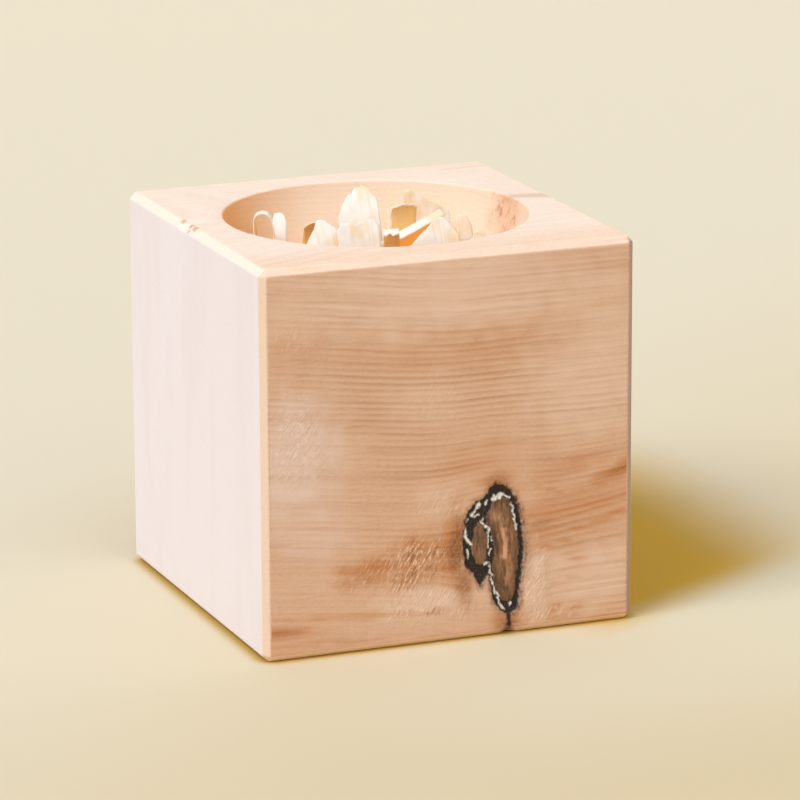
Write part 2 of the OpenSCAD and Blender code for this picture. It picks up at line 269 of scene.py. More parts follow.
# wood of the cube: fibres along X, rings around a far pith, pale ends; lengths in millimetres
pineSpec = {
    "early": srgb(220, 178, 146), "late": srgb(182, 134, 100), "band": srgb(207, 156, 118),
    "haze": srgb(222, 186, 157), "top": srgb(251, 232, 219), "topFront": srgb(249, 220, 198),
    "end": srgb(239, 231, 236), "endLate": srgb(231, 217, 219),
    "bowl": srgb(253, 231, 208), "bowlShade": srgb(254, 184, 108),
    # edge flats painted by how light falls on them: highlight, lit tone, shade, and a lightened bottom flat
    "edge": srgb(244, 234, 221), "edgeWarmLit": srgb(236, 206, 185), "edgeShade": srgb(178, 146, 132),
    "edgeLowLit": srgb(252, 220, 190),
    "stain": srgb(191, 120, 61), "pale": srgb(238, 209, 187), "bruise": srgb(118, 72, 43),
    "salmon": srgb(238, 172, 134), "fleck": srgb(247, 213, 182), "lilac": srgb(236, 212, 202),
    # resin: the beads' colour painted white as their highlight
    "bark": srgb(40, 31, 29), "barkLight": srgb(112, 94, 84), "resin": srgb(240, 232, 222),
    "heart": srgb(162, 115, 78), "heartDark": srgb(100, 71, 50), "heartLight": srgb(216, 160, 124),
    "ringStep": 1.5, "leftFall": 0.12, "pithY": 30.0, "pithZ": -130.0, "edgeFacing": (0.4, 0.65),
    # where one look gives way to the next: from, to
    "bowlOut": (39.5, 38.9), "bowlUp": (50.0, 55.0), "bowlAcross": (-34.0, 13.0), "topBack": (-46.0, -28.0),
    "topUp": (97.0, 99.0), "faintDown": (58.0, 34.0), "faintLeft": (10.0, -6.0), "tornLeft": (-20.0, -34.0),
    "tornDown": (78.0, 66.0),
    "streaks": [  # across the top: from, to, half width, strength
        ((34.0, 6.6), (49.6, 1.8), 4.6, 0.38), ((33.0, 41.4), (48.4, 42.8), 1.4, 0.16)],
    "spots": [  # small dark spots in the chip and the nick: place, half sizes, strength
        ((-48.2, 5.4, 99.8), (1.5, 1.7, 1.2), 0.8), ((-48.5, 1.0, 99.8), (1.2, 1.7, 1.2), 0.75),
        ((-48.4, 10.4, 99.8), (1.0, 1.3, 1.0), 0.6), ((-49.2, 3.4, 98.6), (0.9, 1.3, 0.9), 0.6),
        ((16.0, -49.2, 0.6), (2.2, 1.4, 1.0), 0.9)],
    "bowlPatch": {"x": (29.0, 37.0), "y": (3.5, 11.0, 1.0), "z": (85.0, 94.0), "strength": 0.5,
                  "marks": 0.75},
}


def ringCoordinates(s, spec, place, axes):
    # distance from the pith, with the fall on the left and the sweep around the knot
    x, y, z = axes
    fall = s.times(s.math("SMOOTH_MAX", s.times(x, -1.0), 0.0, 14.0), spec["leftFall"])
    rise = s.math("SUBTRACT", s.math("SUBTRACT", z, fall), s.painted("drift"))
    wave = s.grainNoise(place, (9, 30, 30), detail=2.0)
    fine = s.grainNoise(place, (30, 160, 160), detail=2.0, shift=(3, 1, 7))
    rise = s.math("ADD", rise, s.math("MULTIPLY_ADD", wave, 3.4, -1.7))
    rise = s.math("ADD", rise, s.math("MULTIPLY_ADD", fine, 1.0, -0.5))
    a = s.math("POWER", s.math("SUBTRACT", y, spec["pithY"]), 2.0)
    b = s.math("POWER", s.math("SUBTRACT", rise, spec["pithZ"]), 2.0)
    return s.math("SQRT", s.math("ADD", a, b))


def ringLines(s, spec, place, axes, away):
    # soft dark line at the end of each year, each of its own strength and broken up along its way
    rings = s.math("DIVIDE", away, spec["ringStep"])
    part = s.math("FRACT", rings)
    year = s.math("FLOOR", rings)
    vigour = s.node("ShaderNodeTexWhiteNoise", {"W": year}, noise_dimensions="1D").outputs["Value"]
    line = s.times(s.ramp(part, 0.1, 0.75), s.ramp(part, 0.75, 1.0, 1.0, 0.0))
    line = s.times(line, s.math("MULTIPLY_ADD", vigour, 0.5, 0.36))
    patch = s.grainNoise(place, (26, 40, 40), detail=3.0, shift=(5, 2, 1))
    line = s.times(line, s.ramp(patch, 0.36, 0.64, 0.3, 1.0))
    corner = s.times(s.ramp(axes[2], *spec["faintDown"]), s.ramp(axes[0], *spec["faintLeft"]))
    return s.times(line, s.math("MULTIPLY_ADD", corner, -0.5, 1.0))  # fainter low on the left


def lineMask(s, x, y, start, end, half):
    # soft mark along a line across the top
    (ax, ay), (bx, by) = start, end
    slope = (by - ay) / (bx - ax)
    off = s.math("ABSOLUTE", s.math("SUBTRACT", y, s.math("MULTIPLY_ADD", x, slope, ay - slope * ax)))
    low, high = min(ax, bx), max(ax, bx)
    ends = s.times(s.ramp(x, low, low + 3.0), s.ramp(x, high + 1.0, high - 0.5))
    return s.times(s.ramp(off, half, 0.15 * half), ends)


def spotMask(s, inMm, centre, halves):
    # soft round mark about a point
    scale = tuple(1.0 / h for h in halves)
    shift = tuple(-c / h for c, h in zip(centre, halves))
    near = s.node("ShaderNodeMapping", {"Vector": inMm, "Location": shift, "Scale": scale}).outputs[0]
    gap = s.node("ShaderNodeVectorMath", {0: near}, operation="LENGTH").outputs["Value"]
    return s.ramp(gap, 1.15, 0.35)


def makePineWood(spec):
    s = Shades("pineWood")
    place = s.node("ShaderNodeTexCoord").outputs["Object"]
    inMm = s.node("ShaderNodeMapping", {"Vector": place, "Scale": (1000, 1000, 1000)}).outputs[0]
    x, y, z = s.node("ShaderNodeSeparateXYZ", {0: inMm}).outputs
    normal = s.node("ShaderNodeNewGeometry").outputs["Normal"]
    nx, ny, nz = s.node("ShaderNodeSeparateXYZ", {0: normal}).outputs
    out = s.math("SQRT", s.math("ADD", s.math("POWER", x, 2.0), s.math("POWER", y, 2.0)))
    isBowl = s.times(s.ramp(out, *spec["bowlOut"]), s.ramp(z, *spec["bowlUp"]))
    notBowl = s.math("SUBTRACT", 1.0, isBowl)
    isEnd = s.times(s.ramp(s.math("ABSOLUTE", nx), 0.55, 0.85), notBowl)
    isTop = s.times(s.ramp(nz, 0.4, 0.68), notBowl)
    plain = s.math("SUBTRACT", 1.0, s.math("MULTIPLY_ADD", isBowl, 0.6, s.times(isEnd, 0.85)))

    away = ringCoordinates(s, spec, place, (x, y, z))
    line = ringLines(s, spec, place, (x, y, z), away)
    flow = s.node("ShaderNodeCombineXYZ", {0: x, 1: away, 2: y}).outputs[0]
    layers = s.grainNoise(flow, (0.022, 0.62, 0.03), detail=4.0, rough=0.62)
    broad = s.grainNoise(flow, (0.01, 0.085, 0.02), detail=2.0, shift=(4, 0.7, 2))
    fibre = s.grainNoise(place, (60, 1400, 1400), detail=3.0, rough=0.6)
    cloud = s.grainNoise(place, (34, 34, 46), detail=4.0, rough=0.55, shift=(1, 6, 2))
    fuzz = s.grainNoise(place, (800, 1500, 1500), detail=2.0)
    dark = s.math("ADD", s.ramp(layers, 0.5, 0.76, 0.0, 0.24), s.times(line, 0.78))

    wood = s.mix(s.ramp(broad, 0.44, 0.66, 0.0, 0.4), spec["early"], spec["band"])
    wood = s.mix(dark, wood, spec["late"])
    wood = s.mix(s.ramp(cloud, 0.5, 0.72, 0.0, 0.55), wood, spec["haze"])
    topWood = s.mix(s.ramp(y, *spec["topBack"]), spec["topFront"], spec["top"])
    topWood = s.mix(s.times(dark, 0.22), topWood, spec["band"])
    upright = s.grainNoise(place, (8, 60, 12), detail=4.0, rough=0.6, shift=(2, 5, 5))
    late = s.math("MULTIPLY_ADD", dark, 0.25, s.ramp(upright, 0.42, 0.68, 0.0, 0.32))
    endWood = s.mix(late, spec["end"], spec["endLate"])
    # painted shade: the bowl's left wall painted darker and more orange, giving way to its lit colour
    # towards the right
    lit = s.ramp(s.math("ADD", x, s.times(y, 0.3)), *spec["bowlAcross"])
    bowlWood = s.mix(lit, spec["bowlShade"], spec["bowl"])
    bowlWood = s.mix(s.times(dark, 0.16), bowlWood, spec["late"])
    wood = s.mix(isTop, wood, topWood)
    wood = s.mix(isBowl, wood, bowlWood)
    wood = s.mix(isEnd, wood, endWood)
    # flats of the edges, each told by the two ways it faces, painted by how light falls on it: a painted
    # highlight on the left top flat, a lit tone on the left front flat, painted shade on the right front
    # flat, and a painted lighter tone on the shaded bottom front flat
    left, right, near, up, down = (s.ramp(way, *spec["edgeFacing"]) for way in (
        s.times(nx, -1.0), nx, s.times(ny, -1.0), nz, s.times(nz, -1.0)))
    edges = (((left, up), "edge"), ((left, near), "edgeWarmLit"), ((right, near), "edgeShade"),
             ((down, near), "edgeLowLit"))
    for facing, colour in edges:
        wood = s.mix(s.times(*facing, notBowl), wood, spec[colour])
    rub = s.math("ADD", s.ramp(fibre, 0.5, 0.85, 0.0, 0.25), s.ramp(fuzz, 0.4, 0.75, 0.0, 0.1))
    wood = s.mix(s.times(rub, plain), wood, spec["late"], "MULTIPLY")

    # streaks on the top, spots in the chip and the nick, the reddish patch in the bowl
    for start, end, half, strength in spec["streaks"]:
        mark = s.times(lineMask(s, x, y, start, end, half), s.ramp(z, *spec["topUp"]))
        wood = s.mix(s.times(mark, s.ramp(layers, 0.3, 0.6, 0.4 * strength, strength)), wood, spec["stain"])
    for centre, halves, strength in spec["spots"]:
        mark = s.times(spotMask(s, inMm, centre, halves), s.ramp(fuzz, 0.3, 0.6, 0.5 * strength, strength))
        wood = s.mix(mark, wood, spec["bruise" if strength > 0.85 else "stain"])
    red = spec["bowlPatch"]
    middle, edge, core = red["y"]
    spot = s.ramp(s.math("ABSOLUTE", s.math("SUBTRACT", y, middle)), edge, core)
    spot = s.times(spot, s.ramp(x, *red["x"]), s.ramp(z, *red["z"]), isBowl)
    wood = s.mix(s.times(spot, red["strength"]), wood, spec["salmon"])
    scratch = s.grainNoise(place, (300, 420, 220), turn=-20, detail=4.0, rough=0.7)
    wood = s.mix(s.times(spot, s.ramp(scratch, 0.5, 0.66, 0.0, red["marks"])), wood, spec["stain"])

    # stains and torn places on the front, broken up along the fibres
    torn = s.grainNoise(place, (260, 900, 1500), turn=55, detail=3.0, rough=0.65)
    fleck = s.grainNoise(place, (400, 900, 1700), turn=60, detail=3.0, rough=0.7, shift=(4, 4, 4))
    tear = s.painted("tear")
    stain = s.times(s.painted("stain"), s.ramp(layers, 0.3, 0.66, 0.5, 1.25))
    stain = s.times(stain, s.math("MULTIPLY_ADD", line, 0.7, 0.85))
    wood = s.mix(s.math("MINIMUM", stain, 1.0), wood, spec["stain"])
    onLeft = s.times(s.ramp(x, *spec["tornLeft"]), s.ramp(z, *spec["tornDown"]))
    pale = s.mix(onLeft, spec["pale"], spec["lilac"])
    wood = s.mix(s.times(s.painted("pale"), s.ramp(layers, 0.35, 0.7, 1.1, 0.55)), wood, pale)
    crumb = s.grainNoise(place, (560, 900, 760), turn=30, detail=3.0, rough=0.65, shift=(2, 8, 5))
    fleck = s.mix(onLeft, fleck, crumb)
    stroke = s.times(tear, s.math("MULTIPLY_ADD", s.painted("stain"), 0.9, 0.1))
    wood = s.mix(s.times(stroke, s.ramp(torn, 0.48, 0.62, 0.0, 0.85)), wood, spec["bruise"])
    fleckWood = s.mix(onLeft, spec["fleck"], spec["lilac"])
    wood = s.mix(s.times(tear, s.ramp(fleck, 0.52, 0.64, 0.0, 0.9)), wood, fleckWood)

    # the knot
    vein = s.grainNoise(place, (900, 900, 140), turn=6, detail=4.0, rough=0.65)
    soot = s.grainNoise(place, (1500, 1500, 1000), detail=3.0, rough=0.7, shift=(7, 1, 3))
    heart = s.mix(s.ramp(vein, 0.36, 0.66), spec["heartDark"], spec["heart"])
    light = s.times(s.painted("knotLight"), s.ramp(vein, 0.35, 0.6, 0.5, 1.0))
    heart = s.mix(light, heart, spec["heartLight"])
    wood = s.mix(s.times(s.painted("bruise"), s.ramp(soot, 0.3, 0.65, 0.4, 1.15)), wood, spec["bruise"])
    wood = s.mix(s.painted("knotHeart"), wood, heart)
    bark = s.mix(s.ramp(soot, 0.54, 0.72, 0.0, 0.6), spec["bark"], spec["barkLight"])
    # the ring's bark together with the painted shade just inside it
    ring = s.times(s.painted("knotRingAndShade"), s.ramp(soot, 0.25, 0.6, 0.75, 1.3))
    wood = s.mix(s.math("MINIMUM", ring, 1.0), wood, bark)
    # painted highlight: white glints on the resin beads, which are also raised and glossier
    wood = s.mix(s.times(s.painted("knotResinAndGlint"), s.ramp(soot, 0.68, 0.4, 0.3, 1.0)), wood, spec["resin"])

    rough = s.math("MULTIPLY_ADD", fibre, 0.2, 0.42)
    rough = s.math("SUBTRACT", rough, s.times(s.painted("knotResinAndGlint"), 0.3))
    height = s.math("ADD", s.times(fibre, 0.12), s.times(line, 0.05))
    height = s.math("ADD", height, s.times(tear, s.math("ADD", torn, fleck)))
    height = s.math("ADD", height, s.times(s.painted("knotHeart"), vein))
    bump = s.node("ShaderNodeBump", {"Height": height, "Strength": 0.6, "Distance": 0.0005}).outputs[0]
    skin = s.node("ShaderNodeBsdfPrincipled", {"Base Color": wood, "Roughness": rough, "Normal": bump,
                                               "Specular IOR Level": 0.25})
    s.tree.links.new(skin.outputs[0], s.out.inputs[0])
    return s.material


# the knot as it lies on the front face, in millimetres across and up
knotSpec = {
    "zone": (1.0, 22.5, 1.9, 42.5), "cuts": 3, "ringDepth": 0.75, "heartDepth": 0.25, "resinRise": 0.3,
    # how it parts the ring lines, and lifts them on its right
    "centre": (11.5, 23.0), "halves": (13.0, 20.0), "push": 7.0,
    "carry": {"from": 19.0, "slope": 0.17, "up": 30.0, "lean": 0.1, "half": 13.0},
    "mainOuter": [(12.3, 39.8), (14.6, 38.9), (16.4, 37.3), (17.7, 34.9), (18.6, 32.2), (19.0, 29.4),
                  (19.5, 25.6), (19.8, 22.7), (19.6, 19.4), (19.3, 16.0), (18.8, 12.9), (18.4, 10.1),
                  (18.3, 7.3), (17.3, 5.7), (15.2, 5.6), (13.5, 6.6), (12.0, 8.9), (11.2, 11.8),
                  (10.6, 14.7), (10.3, 17.3), (10.1, 19.3), (10.4, 21.0), (9.9, 23.3), (9.8, 25.6),
                  (9.5, 27.9), (8.5, 29.7), (8.7, 31.4), (9.5, 33.5), (9.9, 35.5), (10.2, 37.4),
                  (10.8, 39.0)],
    "mainInner": [(12.6, 35.9), (14.3, 35.9), (15.8, 35.2), (16.6, 33.6), (17.3, 31.0), (17.8, 28.1),
                  (18.4, 25.2), (18.8, 22.6), (18.4, 19.5), (18.0, 16.4), (17.7, 13.3), (17.3, 10.8),
                  (16.9, 9.1), (15.8, 8.6), (14.3, 8.9), (13.0, 10.7), (12.3, 12.8), (11.7, 15.4),
                  (11.4, 18.0), (11.7, 20.3), (11.8, 22.5), (11.5, 24.8), (11.1, 27.1), (10.2, 29.2),
                  (9.6, 30.7), (10.2, 32.6), (11.1, 34.2)],
    "sideOuter": [(9.9, 37.3), (8.7, 36.1), (6.8, 35.4), (5.4, 33.8), (4.2, 31.7), (3.6, 28.8), (3.3, 26.0),
                  (3.6, 22.9), (3.9, 20.0), (4.6, 18.3), (6.1, 17.2), (7.0, 15.6), (7.8, 13.6), (8.9, 14.8),
                  (10.2, 16.5), (10.8, 18.7), (10.8, 21.5), (10.3, 25.5), (9.9, 28.4), (8.7, 30.2),
                  (9.3, 33.0), (10.2, 35.1)],
    "sideInner": [(8.3, 29.7), (7.3, 30.1), (6.7, 28.8), (6.1, 26.6), (5.8, 24.3), (5.9, 21.8), (6.7, 20.0),
                  (7.8, 19.0), (8.9, 19.2), (9.7, 20.2), (9.9, 22.2), (9.9, 24.4), (9.7, 26.7),
                  (9.3, 28.5)],
    "resin": [  # resin beads with a painted white highlight: half width, then the line it follows
        (0.55, [(11.6, 35.8), (12.3, 36.1), (13.2, 36.4), (14.0, 36.4)]),
        (0.25, [(14.0, 36.5), (15.2, 36.1), (16.1, 35.6)]),
        (0.34, [(16.4, 34.3), (16.8, 33.0), (16.9, 31.6), (17.2, 30.1), (17.6, 28.7), (17.9, 27.2)]),
        (0.42, [(7.9, 34.9), (7.3, 34.0), (6.7, 33.2), (6.0, 32.4)]),
        (0.42, [(5.9, 31.9), (6.5, 31.6), (7.4, 32.1)]),
        (0.25, [(4.7, 31.1), (4.4, 30.6)]), (0.25, [(9.9, 35.5), (9.6, 34.5)]),
        (0.36, [(4.1, 28.9), (4.0, 27.8), (4.1, 26.6), (4.7, 25.6), (5.4, 24.7)]),
        (0.26, [(4.7, 23.2), (4.8, 22.2), (4.9, 21.1)]),
        (0.3, [(9.0, 31.0), (8.5, 30.1), (9.2, 29.3), (10.1, 28.4), (10.6, 27.6)]),
        (0.3, [(10.3, 27.5), (10.2, 26.1), (10.1, 24.7), (10.3, 23.3)]),
        (0.22, [(11.0, 26.0), (11.1, 24.9)]), (0.18, [(11.0, 22.9), (10.7, 21.2)]),
        (0.4, [(9.2, 18.9), (9.7, 19.3)]),
        (0.28, [(10.7, 18.5), (10.8, 17.3), (11.0, 15.7), (11.4, 13.8), (11.8, 12.2), (12.6, 10.8),
                (13.0, 9.6), (13.3, 8.3), (14.1, 7.2), (14.8, 6.7)]),
        (0.35, [(16.1, 8.0), (16.3, 7.6)]),
    ],
    "light": [(1.5, 0.45, [(11.1, 32.4), (11.5, 31.0)]), (0.9, 0.5, [(13.4, 31.4), (14.0, 28.5)]),
              (1.0, 1.0, [(14.2, 27.6), (14.7, 25.6), (14.9, 23.3), (14.6, 20.5)]),
              (0.8, 0.5, [(15.8, 17.5), (15.2, 14.8), (15.0, 13.1)])],
    "tail": [(0.9, [(15.5, 6.0), (15.7, 3.9), (15.9, 1.5)]), (1.0, [(14.7, 0.9), (17.0, 0.9)])],
}

# soft marks on the front: across, up, half sizes, tilt in degrees, strength
frontMarks = {
    "stain": [(-21, 20.5, 12, 5, 6, 0.75), (-10, 22, 7, 10, -35, 0.7), (-3, 23, 5, 9, -25, 0.75),
              (0.2, 25, 5, 11, -8, 1.0), (3.0, 14, 3.4, 6.5, 8, 0.7), (-45, 7.6, 7, 1.6, 0, 0.6),
              (25, 29, 9, 7, 15, 0.55), (36, 32.5, 19, 7, 12, 0.45), (45, 39.5, 9, 2.8, 20, 0.8),
              (30, 41, 15, 3, 12, 0.4), (-4.4, 8.3, 3.4, 1.0, 6, 0.75), (12.5, 41.0, 6, 2.6, 0, 0.6),
              (27, 22.1, 8, 0.6, 9, 0.95), (36.5, 26.1, 9, 0.7, 7, 0.8), (45, 28.6, 6, 0.7, 10, 0.75),
              (37, 30.2, 13, 0.8, 7, 0.75), (36, 18.2, 4.5, 0.6, 6, 0.8), (32.6, 12.8, 8, 0.5, 10, 0.55),
              (39.8, 36.6, 10, 0.8, 9, 0.7), (27.3, 36.5, 6, 0.6, -17, 0.6), (28.5, 5.5, 2.4, 0.7, 23, 0.5),
              (34.2, 5.2, 3.4, 0.8, 16, 0.5), (-25, 9.5, 23, 0.9, -4, 0.45), (-30, 3.5, 20, 0.8, -2, 0.35),
              (7, 47, 12, 4, 10, 0.3), (-10, 97, 42, 2.0, -2, 0.08), (30, 82, 24, 1.4, 0, 0.12),
              (8, 75, 30, 6, 2, 0.14), (18, 70, 20, 3, 4, 0.15), (15.5, 3.5, 5.5, 4, 0, 0.6),
              (27, 3, 9, 1.2, 0, 0.35)],
    "bruise": [(1.8, 24.5, 2.6, 9, -5, 0.75), (3.6, 14.5, 2.8, 5, 10, 0.5), (12.5, 41.0, 3, 1.6, 0, 0.35),
               (20.6, 22, 1.6, 9, 2, 0.3), (-45, 7.6, 5, 0.9, 0, 0.3), (46, 39.8, 5, 1.1, 20, 0.4),
               (15.5, 3.0, 3.2, 2.4, 0, 0.5), (24, 28, 4, 1.4, 14, 0.3)],
    "pale": [(0, 91, 58, 14, 0, 0.5), (37, 67, 20, 21, 0, 0.46), (-42, 50, 15, 20, 0, 0.55),
             (-7, 63, 13, 8, 0, 0.22), (-4, 37, 7, 5.5, 0, 0.25), (-8, 11, 12, 5, 0, 0.55),
             (23, 12, 4, 11, 0, 0.65), (40, 12, 13, 9, 8, 0.55), (-36, 90, 16, 8, -6, 0.4),
             (-38, 32, 13, 8, 0, 0.35), (28, 94, 18, 4, 4, 0.25), (29, 14, 7, 7, 10, 0.45)],
    "tear": [(-10, 21, 8.5, 10, -35, 1.0), (-21, 20, 11, 5, 6, 0.45), (-41, 55, 9, 13, 0, 0.75),
             (-8, 11, 12, 5, 0, 0.8), (22.8, 12, 4, 11, 0, 1.0), (-3, 36, 8, 5, 0, 0.5),
             (-4, 62, 9, 9, 0, 0.25), (26, 5, 10, 3.4, 0, 0.6), (-41, 82, 7, 6, 0, 0.4),
             (3, 9, 5, 5, 0, 0.6)],
}


def lineGap(px, pz, line):
    # nearest way from a point to an open line
    best = 1e9
    for (ax, az), (bx, bz) in zip(line, line[1:]):
        dx, dz = bx - ax, bz - az
        t = max(0.0, min(1.0, ((px - ax) * dx + (pz - az) * dz) / (dx * dx + dz * dz)))
        best = min(best, (px - ax - t * dx) ** 2 + (pz - az - t * dz) ** 2)
    return math.sqrt(best)


def loopGap(px, pz, loop):
    # the same for a closed line, below zero inside it
    inside = False
    for (ax, az), (bx, bz) in zip(loop, loop[1:] + loop[:1]):
        if (az > pz) != (bz > pz) and px < ax + (pz - az) * (bx - ax) / (bz - az):
            inside = not inside
    gap = lineGap(px, pz, loop + loop[:1])
    return -gap if inside else gap


def markAt(px, pz, marks):
    # how strongly the soft marks cover a point
    most = 0.0
    for cx, cz, halfX, halfZ, tilt, strength in marks:
        dx, dz = px - cx, pz - cz
        if abs(dx) + abs(dz) > 2.6 * max(halfX, halfZ):
            continue
        c, s = math.cos(math.radians(tilt)), math.sin(math.radians(tilt))
        u, v = (dx * c + dz * s) / halfX, (dz * c - dx * s) / halfZ
        gap = math.hypot(u, v) + 0.35 * wobble(px * 0.22, pz * 0.22, cx)
        most = max(most, strength * smooth(1.35, 0.25, gap))
    return most


def sweepAt(px, pz, spec):
    # how far the ring lines are carried around the knot
    carry, (cx, cz), (halfX, halfZ) = spec["carry"], spec["centre"], spec["halves"]
    right = max(0.0, px - carry["from"])
    above = (pz - carry["up"] - carry["lean"] * right) / carry["half"]
    u, v = (px - cx) / halfX, (pz - cz) / halfZ
    return carry["slope"] * right * math.exp(-above ** 2) + spec["push"] * v * math.exp(-(u * u + v * v))


def knotAt(px, pz, spec):
    # ring, painted shade inside it, heart, resin beads with their painted highlight, light streaks and
    # bruise at a point of the face
    qx = px + 0.4 * wobble(px * 0.9, pz * 0.9, 1.0) + 0.16 * wobble(px * 2.2, pz * 2.2, 5.0)
    qz = pz + 0.4 * wobble(px * 0.9, pz * 0.9, 9.0) + 0.16 * wobble(px * 2.2, pz * 2.2, 3.0)
    mainOut, mainIn = loopGap(qx, qz, spec["mainOuter"]), loopGap(qx, qz, spec["mainInner"])
    sideOut, sideIn = loopGap(qx, qz, spec["sideOuter"]), loopGap(qx, qz, spec["sideInner"])
    heart = max(smooth(0.3, -0.3, mainIn), smooth(0.3, -0.3, sideIn))
    whole = max(smooth(0.45, -0.35, mainOut), smooth(0.45, -0.35, sideOut))
    ring = whole * (1.0 - heart)
    # painted shade: the heart darkened along the inside of the ring, laid into the ring's dark paint
    shadow = 0.4 * heart * smooth(-2.4, 0.0, min(mainIn, sideIn))
    resin = 0.0
    for half, line in spec["resin"]:
        gap = lineGap(qx, qz, line) / (half * (1.1 + 0.9 * wobble(px * 1.5, pz * 1.5, half)))
        resin = max(resin, smooth(1.25, 0.6, gap))
    light = max(power * smooth(half * 1.2, half * 0.2, lineGap(qx, qz, line))
                for half, power, line in spec["light"])
    light = max(light, 0.16 * smooth(0.3, -0.6, sideIn))
    tail = max(smooth(half, half * 0.2, lineGap(qx, qz, line)) for half, line in spec["tail"])
    bruise = smooth(2.4, 0.0, min(mainOut, sideOut)) ** 1.5 * (0.75 + 0.6 * wobble(px * 0.8, pz * 0.5, 2.0))
    return ring, shadow, heart, resin * whole, light, max(0.0, min(1.0, bruise)), tail


# the cube itself, in metres: flats on every edge, slightly rounded, and a round bowl
cubeSpec = {"side": 0.1, "ease": 0.0018, "round": 0.0003,
            "bowlWidth": 0.078, "bowlDepth": 0.036, "rimEase": 0.0006,
            "sideSteps": 72, "bowlSteps": 32, "faceCuts": 96,
            "chip": {"at": 0.007, "half": 0.0036, "depth": 0.0007},
            "nick": {"at": 0.016, "half": 0.0018, "depth": 0.0006}}


